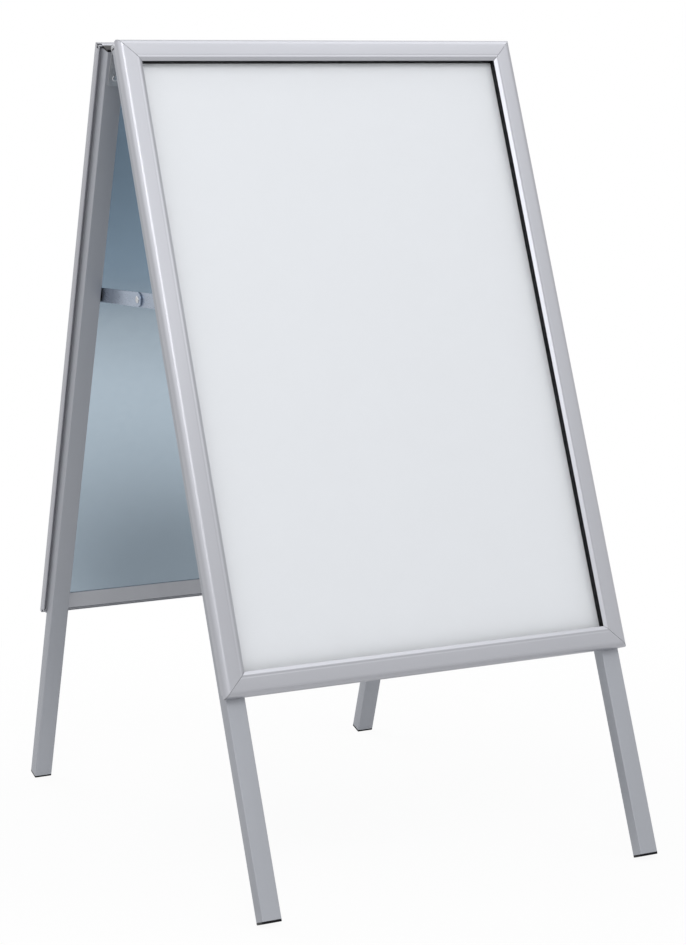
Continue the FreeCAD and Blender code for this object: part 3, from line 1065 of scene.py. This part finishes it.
@dataclass(frozen=True)
class TopHinges:
    """Rolled leaf hinges at the top of the legs, with their rivets and pins."""

    sizes: StandSizes
    width: float = 20.0 * MM
    leaf_thickness: float = 2.5 * MM
    knuckle_radius: float = 7.0 * MM
    knuckle_gap: float = 0.2 * MM
    knuckle_root: float = 6.0 * MM
    roll_end_angle: float = -215.0
    plate_corner: float = 3.0 * MM
    plate_end: float = 76.0 * MM
    edge: float = 0.35 * MM
    rivet_place: float = 64.0 * MM
    rivet_radius: float = 4.5 * MM
    rivet_height: float = 1.4 * MM
    rivet_fullness: float = 0.7
    rivet_bore: float = 1.2 * MM
    rivet_bore_depth: float = 1.0 * MM
    pin_radius: float = 4.45 * MM
    pin_overhang: float = 1.0 * MM
    pin_edge: float = 0.5 * MM

    @property
    def axis_drop(self) -> float:
        """Drop of the pin below the line where the legs' inner faces meet."""
        return self.knuckle_radius / math.sin(self.sizes.lean)

    @property
    def axis_place(self) -> float:
        """Distance of the pin down the slope."""
        return self.axis_drop * math.cos(self.sizes.lean)

    def knuckle_spans(self, leaf: Leaf) -> list[Span]:
        """Stretches of the hinge width that a leaf fills: the middle third or the two outer ones.

        Args:
            leaf: The leaf.

        Returns:
            Start and end of each stretch, from the hinge's middle.
        """
        half = 0.5 * self.width
        inner = half / 3.0
        gap = 0.5 * self.knuckle_gap
        if leaf is Leaf.REAR:
            return [(gap - inner, inner - gap)]
        return [(-half, -inner - gap), (inner + gap, half)]

    def knuckle_rings(self, middle: float, span: Span) -> np.ndarray:
        """Knuckle: the section of a strip rolled round the pin, carried across one span.

        Args:
            middle: Middle of the hinge across the leaf.
            span: Start and end from there.

        Returns:
            Array of two rings in the leaf plane.
        """
        centre = (-self.axis_place, -self.knuckle_radius)
        bore = self.knuckle_radius - self.leaf_thickness
        root = -self.axis_place - self.knuckle_radius - self.knuckle_root
        section = np.concatenate([
            [[root, -self.leaf_thickness], [root, 0.0]],
            arc_points(centre, self.knuckle_radius, 90.0, self.roll_end_angle, 4 * ARC_STEPS),
            arc_points(centre, bore, self.roll_end_angle, 90.0, 4 * ARC_STEPS),
        ])
        return np.stack([np.insert(section, 0, middle + end, axis=1) for end in span])

    def leaf_surface(self, leaf: Leaf, side: Side) -> Surface:
        """Hinge leaf: a plate with rounded edges and its rolled knuckles.

        Args:
            leaf: Leaf of the stand that it is riveted to.
            side: Side of the leg.

        Returns:
            The surface in the leaf plane.
        """
        middle = side.value * self.sizes.leg_middle
        start = self.axis_place + self.knuckle_radius + self.knuckle_gap
        outline = rounded_rectangle(self.width, self.plate_end - start, self.plate_corner)
        inward = -outline / np.linalg.norm(outline, axis=-1, keepdims=True)
        rings = plate(outline, inward, self.leaf_thickness, self.edge)
        rings = rings + np.array([middle, -0.5 * (start + self.plate_end), -self.leaf_thickness])
        knuckles = [loft(self.knuckle_rings(middle, span)) for span in self.knuckle_spans(leaf)]
        return joined([loft(rings)] + knuckles)

    def rivet_surface(self, side: Side) -> Surface:
        """Hollow rivet head on a hinge leaf: a ring round a bore, domed by a power of the cosine and a sine.

        Args:
            side: Side of the leg.

        Returns:
            The surface in the leaf plane.
        """
        turn = np.linspace(0.0, 0.5 * math.pi, ARC_STEPS + 1)
        shoulder = 0.5 * self.rivet_height
        band = self.rivet_radius - self.rivet_bore
        dome_radius = self.rivet_bore + band * np.cos(turn) ** self.rivet_fullness
        dome_height = shoulder + (self.rivet_height - shoulder) * np.sin(turn)
        floor = self.rivet_height - self.rivet_bore_depth
        profile = np.concatenate([
            [[AXIS_RADIUS, 0.0], [self.rivet_radius, 0.0]],
            np.stack([dome_radius, dome_height], axis=-1),
            [[self.rivet_bore, floor], [AXIS_RADIUS, floor]],
        ])
        foot = (side.value * self.sizes.leg_middle, -self.rivet_place, -self.leaf_thickness)
        return loft(turned(profile, foot, (0.0, 0.0, -1.0)))

    def pin_surface(self, side: Side) -> Surface:
        """Hinge pin: a round bar with a softened edge at each end, lying on the fold axis.

        Args:
            side: Side of the leg.

        Returns:
            The surface in the frame of the stand.
        """
        length = self.width + 2.0 * self.pin_overhang
        start = side.value * self.sizes.leg_middle - 0.5 * length
        foot = (start, 0.0, self.sizes.apex_height - self.axis_drop)
        return loft(turned(softened_bar(self.pin_radius, length, self.pin_edge), foot, (1.0, 0.0, 0.0)))

    def build(self, shop: Workshop) -> None:
        """Makes the hinge leaves and rivets of both leaves and the two pins.

        Args:
            shop: Workshop that makes the pieces.
        """
        for leaf in Leaf:
            plane = LeafPlane(leaf, self.sizes)
            leaves = joined([self.leaf_surface(leaf, side) for side in Side]).placed(plane)
            shop.piece(f"{leaf.value}_rolled_hinge_leaves", leaves, ZINC_HINGE, leaf.body,
                       [f"{leaf.value}_hinge_leaves"])
            rivets = joined([self.rivet_surface(side) for side in Side]).placed(plane)
            shop.piece(f"{leaf.value}_hollow_rivets", rivets, RIVET_STEEL, leaf.body,
                       [f"{leaf.value}_hinge_rivets"])
        pins = joined([self.pin_surface(side) for side in Side])
        shop.piece("hinge_pin_bars", pins, ZINC_HINGE, Leaf.FRONT.body, ["hinge_pins"])


@dataclass(frozen=True)
class FoldingStays:
    """Two-link stays between the legs: flat links, leg pivots with black washers, and elbow rivets."""

    sizes: StandSizes
    place: float = 412.0 * MM
    thickness: float = 2.5 * MM
    gap: float = 0.2 * MM
    edge: float = 0.45 * MM
    washer_radius: float = 10.0 * MM
    washer_thickness: float = 2.5 * MM
    washer_edge: float = 0.3 * MM
    head_radius: float = 5.5 * MM
    head_height: float = 1.8 * MM
    head_rim: float = 0.5 * MM
    head_dimple: float = 2.2 * MM

    @property
    def pivot_z(self) -> float:
        """Height of the pivots."""
        outward = 0.5 * self.sizes.tube_depth * math.sin(self.sizes.lean)
        return self.sizes.apex_height - (self.place * math.cos(self.sizes.lean) - outward)

    def pivot_y(self, leaf: Leaf) -> float:
        """Place of a leaf's leg pivots along the stays."""
        outward = 0.5 * self.sizes.tube_depth * math.cos(self.sizes.lean)
        return -leaf.facing * (self.place * math.sin(self.sizes.lean) + outward)

    def layer(self, leaf: Leaf) -> float:
        """Start of a leaf's link, measured inward from the leg's inner side."""
        over_rear = self.thickness + self.gap
        return self.washer_thickness + (over_rear if leaf is Leaf.FRONT else 0.0)

    def across(self, side: Side, distance: float) -> float:
        """X a given distance inward from the leg's inner side."""
        return side.value * (self.sizes.leg_side - self.sizes.tube_width - distance)

    def head(self, side: Side, distance: float, y: float, inward: int, dimple: float) -> Surface:
        """Rivet head on a link or washer.

        Args:
            side: Side of the stand.
            distance: Where the head sits, inward from the leg's inner side.
            y: Place along the stay.
            inward: 1 where the head points inward, -1 where it points at the leg.
            dimple: Radius of the dimple in the head.

        Returns:
            The surface in the frame of the stand.
        """
        profile = DomedHead(self.head_radius, self.head_height, self.head_rim, dimple).profile()
        foot = (self.across(side, distance), y, self.pivot_z)
        return loft(turned(profile, foot, (-inward * side.value, 0.0, 0.0)))

    def link_surface(self, side: Side, leaf: Leaf) -> Surface:
        """Flat link with rounded edges from its leg pivot to the elbow over the middle of the stand.

        Args:
            side: Side of the stand.
            leaf: Leaf that the link is joined to.

        Returns:
            The surface in the frame of the stand.
        """
        radius = 0.5 * self.sizes.tube_depth
        low, high = sorted((0.0, self.pivot_y(leaf)))
        outline = bar_outline(low, high, radius)
        nearest = np.stack([np.clip(outline[:, 0], low, high), np.zeros(len(outline))], axis=-1)
        rings = plate(outline, (nearest - outline) / radius, self.thickness, self.edge)
        x = self.across(side, self.layer(leaf)) - side.value * rings[..., 2]
        return loft(np.stack([x, rings[..., 0], self.pivot_z + rings[..., 1]], axis=-1))

    def washer_surface(self, side: Side, leaf: Leaf) -> Surface:
        """Black washer between a leg and its link, its edges broken; its black is partly painted shade of the
        narrow gap there.

        Args:
            side: Side of the stand.
            leaf: Leaf that the leg belongs to.

        Returns:
            The surface in the frame of the stand.
        """
        profile = softened_bar(self.washer_radius, self.layer(leaf), self.washer_edge)
        foot = (self.across(side, 0.0), self.pivot_y(leaf), self.pivot_z)
        return loft(turned(profile, foot, (-side.value, 0.0, 0.0)))

    def build_leg_ends(self, shop: Workshop) -> None:
        """Makes the washers and pivot heads on the legs.

        Args:
            shop: Workshop that makes the pieces.
        """
        for leaf in Leaf:
            # The washers' black is partly painted shade of the narrow gap between leg and link
            washers = joined([self.washer_surface(side, leaf) for side in Side])
            shop.piece(f"{leaf.value}_pivot_washers", washers, BLACK_PLASTIC, leaf.body,
                       [f"{leaf.value}_stay_spacers"])
            end = self.layer(leaf) + self.thickness
            heads = [self.head(side, end, self.pivot_y(leaf), 1, self.head_dimple) for side in Side]
            shop.piece(f"{leaf.value}_pivot_heads", joined(heads), RIVET_STEEL, leaf.body,
                       [f"{leaf.value}_stay_pivots"])

    def build_links(self, shop: Workshop, side: Side) -> None:
        """Makes the links of one stay, the boss on the front link and the elbow rivet on the rear one.

        Args:
            shop: Workshop that makes the pieces.
            side: Side of the stand.
        """
        rear = self.link_surface(side, Leaf.REAR)
        shop.piece(f"{side.label}_rear_stay_bar", rear, ZINC_STAY, f"{side.label}_rear_link",
                   [f"{side.label}_stay_rear_link"])
        boss = self.head(side, self.layer(Leaf.FRONT) + self.thickness, 0.0, 1, 0.0)
        front = joined([self.link_surface(side, Leaf.FRONT), boss])
        shop.piece(f"{side.label}_front_stay_bar", front, ZINC_STAY, f"{side.label}_front_link",
                   [f"{side.label}_stay_front_link"])
        rivet = self.head(side, self.layer(Leaf.REAR), 0.0, -1, self.head_dimple)
        shop.piece(f"{side.label}_elbow_rivet_head", rivet, RIVET_STEEL, f"{side.label}_rear_link",
                   [f"{side.label}_stay_elbow_rivet"])

    def build(self, shop: Workshop) -> None:
        """Makes both stays.

        Args:
            shop: Workshop that makes the pieces.
        """
        self.build_leg_ends(shop)
        for side in Side:
            self.build_links(shop, side)


def looking_along(place: Point, forward: np.ndarray, roll: float = 0.0) -> Matrix:
    """Place and turn of a camera or lamp that looks along a direction.

    Right is the level direction square to the way forward, up is square to both, and the roll mixes
    the two by its cosine and sine.

    Args:
        place: Position.
        forward: Unit direction of view.
        roll: Turn about the direction of view, in radians.

    Returns:
        Matrix with right, up and back as its axes.
    """
    right = np.cross(forward, [0.0, 0.0, 1.0])
    right /= np.linalg.norm(right)
    up = np.cross(right, forward)
    rows = np.eye(4)
    rows[:3, 0] = math.cos(roll) * right + math.sin(roll) * up
    rows[:3, 1] = math.cos(roll) * up - math.sin(roll) * right
    rows[:3, 2] = -forward
    rows[:3, 3] = place
    return Matrix(rows.tolist())


@dataclass(frozen=True)
class Softbox:
    """Flat area lamp: where it stands, what it looks at, its size in metres and its power in watts."""

    name: str
    place: Point
    target: Point
    size: Span
    power: float
    only_mirrored: bool = False

    def build(self) -> None:
        """Makes the lamp; one that is only mirrored shows in metal but sheds no light on matt surfaces."""
        lamp = bpy.data.lights.new(self.name, "AREA")
        lamp.shape = "RECTANGLE"
        lamp.size, lamp.size_y = self.size
        lamp.energy = self.power
        made = bpy.data.objects.new(self.name, lamp)
        bpy.context.scene.collection.objects.link(made)
        forward = np.array(self.target) - np.array(self.place)
        made.matrix_world = looking_along(self.place, forward / np.linalg.norm(forward))
        made.visible_camera = False
        made.visible_diffuse = not self.only_mirrored


@dataclass(frozen=True)
class Studio:
    """Pale floor, white surroundings, soft lamps and the camera."""

    softboxes: tuple[Softbox, ...]
    floor_size: float = 14.0
    floor_colour: Colour = (0.92, 0.92, 0.92)
    floor_dulling: float = 0.97
    floor_cloud_scale: float = 3.0
    floor_roughness: float = 0.9
    floor_white_near: float = 0.94
    floor_fade: Span = (0.6, 1.5)
    under_shade: Point = (0.12, 0.1, 0.0)
    under_fade: Span = (0.15, 0.52)
    # Painted shade: a patch in front of the stand where reflections show the dimmer lit floor instead of
    # white
    front_shade: Point = (0.25, -0.95, 0.0)
    front_fade: Span = (0.36, 0.5)
    surround_light: float = 0.57
    camera_place: Point = (-1.6155434, -3.2741093, 1.0492159)
    camera_yaw: float = math.radians(26.9168)
    camera_pitch: float = math.radians(7.9119)
    camera_roll: float = math.radians(-1.0093)
    camera_reach: float = 100.0
    focal_pixels: float = 2389.4333

    def build_floor(self) -> None:
        """Floor: a level square whose white shows to the camera while it keeps the object's shadow."""
        half = 0.5 * self.floor_size
        mesh = bpy.data.meshes.new("studio_floor")
        corners = [(-half, -half, 0.0), (half, -half, 0.0), (half, half, 0.0), (-half, half, 0.0)]
        mesh.from_pydata(corners, [], [[0, 1, 2, 3]])
        mesh.materials.append(self.floor_material())
        floor = bpy.data.objects.new("studio_floor", mesh)
        bpy.context.scene.collection.objects.link(floor)

    def floor_material(self) -> bpy.types.Material:
        """Matt pale floor mixed with plain white by how a ray meets it.

        To the camera the white is nearly whole. In reflections it fades out under the stand, where the
        floor's own shadow shows, and in a patch in front of it, which is painted shade in what the metal
        mirrors.

        Returns:
            The material.
        """
        bench = FinishBench("studio_floor")
        clouds = bench.cloud(Grain.SPACE, (self.floor_cloud_scale,) * 3, detail=2.0)
        dull = tuple(self.floor_dulling * part for part in self.floor_colour)
        bench.link(bench.blend(clouds, dull, self.floor_colour, CLOUD_SPREAD), bench.socket("Base Color"))
        bench.socket("Roughness").default_value = self.floor_roughness
        bench.socket("Specular IOR Level").default_value = 0.0
        white = bench.add("ShaderNodeEmission", {"Color": WHITE, "Strength": 1.0})
        rays = bench.add("ShaderNodeLightPath").outputs
        place = bench.coordinates(Grain.SPACE, (1.0, 1.0, 1.0))
        direct = bench.combine("MAXIMUM", rays["Is Camera Ray"], rays["Is Transmission Ray"])
        near = bench.clear_of(place, (0.0, 0.0, 0.0), self.floor_fade, self.floor_white_near)
        under = bench.clear_of(place, self.under_shade, self.under_fade)
        # Painted shade in reflections: a darker patch in front of the stand where no shadow falls
        front = bench.clear_of(place, self.front_shade, self.front_fade)
        seen = bench.combine("MULTIPLY", direct, near)
        mirrored = bench.combine("MULTIPLY", under, front)
        share = bench.combine("MULTIPLY_ADD", rays["Is Glossy Ray"], mirrored, seen)
        bench.show_mixed(share, bench.shader.outputs["BSDF"], white.outputs["Emission"], "Material Output")
        return bench.material

    def build_surround(self) -> None:
        """World: plain white to the camera and in reflections, softer as light on the object."""
        world = bpy.data.worlds.new("studio_surround")
        bpy.context.scene.world = world
        world.use_nodes = True
        bench = NodeBench(world.node_tree)
        soft = bench.tree.nodes["Background"]
        soft.inputs["Color"].default_value = WHITE
        soft.inputs["Strength"].default_value = self.surround_light
        white = bench.add("ShaderNodeBackground", {"Color": WHITE, "Strength": 1.0})
        rays = bench.add("ShaderNodeLightPath").outputs
        direct = bench.combine("MAXIMUM", rays["Is Camera Ray"], rays["Is Transmission Ray"])
        share = bench.combine("MAXIMUM", direct, rays["Is Glossy Ray"])
        bench.show_mixed(share, soft.outputs["Background"], white.outputs["Background"], "World Output")

    def build_camera(self) -> None:
        """Camera at the photograph's viewing angle."""
        camera = bpy.data.cameras.new("camera")
        camera.sensor_fit = "HORIZONTAL"
        camera.sensor_width = SENSOR_WIDTH
        camera.lens = SENSOR_WIDTH * self.focal_pixels / IMAGE_WIDTH
        camera.clip_end = self.camera_reach
        made = bpy.data.objects.new("camera", camera)
        bpy.context.scene.collection.objects.link(made)
        level = math.cos(self.camera_pitch)
        forward = np.array([math.sin(self.camera_yaw) * level, math.cos(self.camera_yaw) * level,
                            -math.sin(self.camera_pitch)])
        made.matrix_world = looking_along(self.camera_place, forward, self.camera_roll)
        bpy.context.scene.camera = made

    def build(self) -> None:
        """Makes floor, surround, lamps and camera."""
        bpy.context.scene.view_settings.view_transform = "Standard"
        self.build_floor()
        self.build_surround()
        for softbox in self.softboxes:
            softbox.build()
        self.build_camera()


STUDIO = Studio(softboxes=(
    Softbox("key_softbox", (1.4, -2.6, 3.9), (0.0, -0.15, 0.7), (3.4, 2.6), 25.0),
    Softbox("left_softbox", (-1.25, -2.8, 3.1), (0.0, -0.1, 0.75), (1.5, 1.9), 38.0),
    Softbox("rear_softbox", (-0.6, 2.9, 2.6), (0.0, 0.2, 0.6), (2.6, 2.2), 40.0),
    Softbox("top_card", (1.1, -0.1, 3.4), (0.1, -0.2, 0.6), (2.2, 2.2), 20.0, only_mirrored=True),
    Softbox("left_card", (-2.7, -0.75, 2.1), (-0.3, -0.2, 0.9), (2.2, 1.8), 11.0, only_mirrored=True),
))


def main() -> None:
    """Builds the stand piece by piece, then the studio around it."""
    logging.basicConfig(level=logging.INFO, format="%(name)s: %(message)s")
    sizes = StandSizes()
    shop = Workshop()
    for leaf in Leaf:
        plane = LeafPlane(leaf, sizes)
        SnapFrame(plane).build(shop)
        LegFrame(plane).build(shop)
    TopHinges(sizes).build(shop)
    FoldingStays(sizes).build(shop)
    STUDIO.build()


if __name__ == "__main__":
    main()
